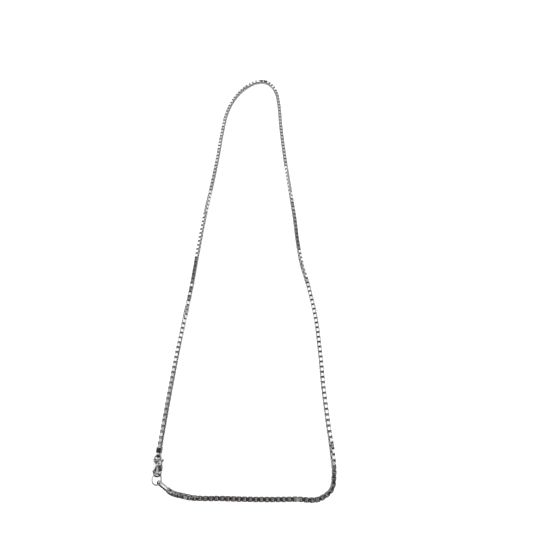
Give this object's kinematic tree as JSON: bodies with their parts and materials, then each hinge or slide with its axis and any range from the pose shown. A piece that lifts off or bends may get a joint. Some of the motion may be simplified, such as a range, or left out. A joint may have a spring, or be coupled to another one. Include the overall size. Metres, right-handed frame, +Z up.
{
  "type": "box chain necklace",
  "caption": "Polished box chain necklace of interlocking square links, lying in a long loop, with a lobster clasp, jump ring and soldered end fittings.",
  "frame": {"origin": "on the resting surface, under the middle of the necklace's box", "axes": "+Y along the long loop from the clasp end to the far bend, +X across it away from the clasp, +Z up from the surface"},
  "size_m": [0.0805, 0.2391, 0.0037],
  "materials": {
    "chain_metal": "polished silver with faint wear",
    "clasp_metal": "polished silver, cast",
    "fitting_metal": "polished silver wire"
  },
  "bodies": {
    "necklace": {"chain_left": "chain_metal", "chain_right": "chain_metal", "end_cap": "fitting_metal", "clasp_body": "clasp_metal", "lever_rivet": "clasp_metal", "jump_ring": "fitting_metal", "end_loop": "fitting_metal"},
    "lever": {"clasp_lever": "clasp_metal"}
  },
  "joints": [
    {"name": "lever_hinge", "type": "hinge", "parent": "necklace", "child": "lever", "pos_m": [-0.0375, -0.10418, 0.0016], "axis": [0, 0, -1], "range_deg": [0, 15], "stiffness_Nm_per_rad": 0.001, "springref_deg": -5.73}
  ]
}
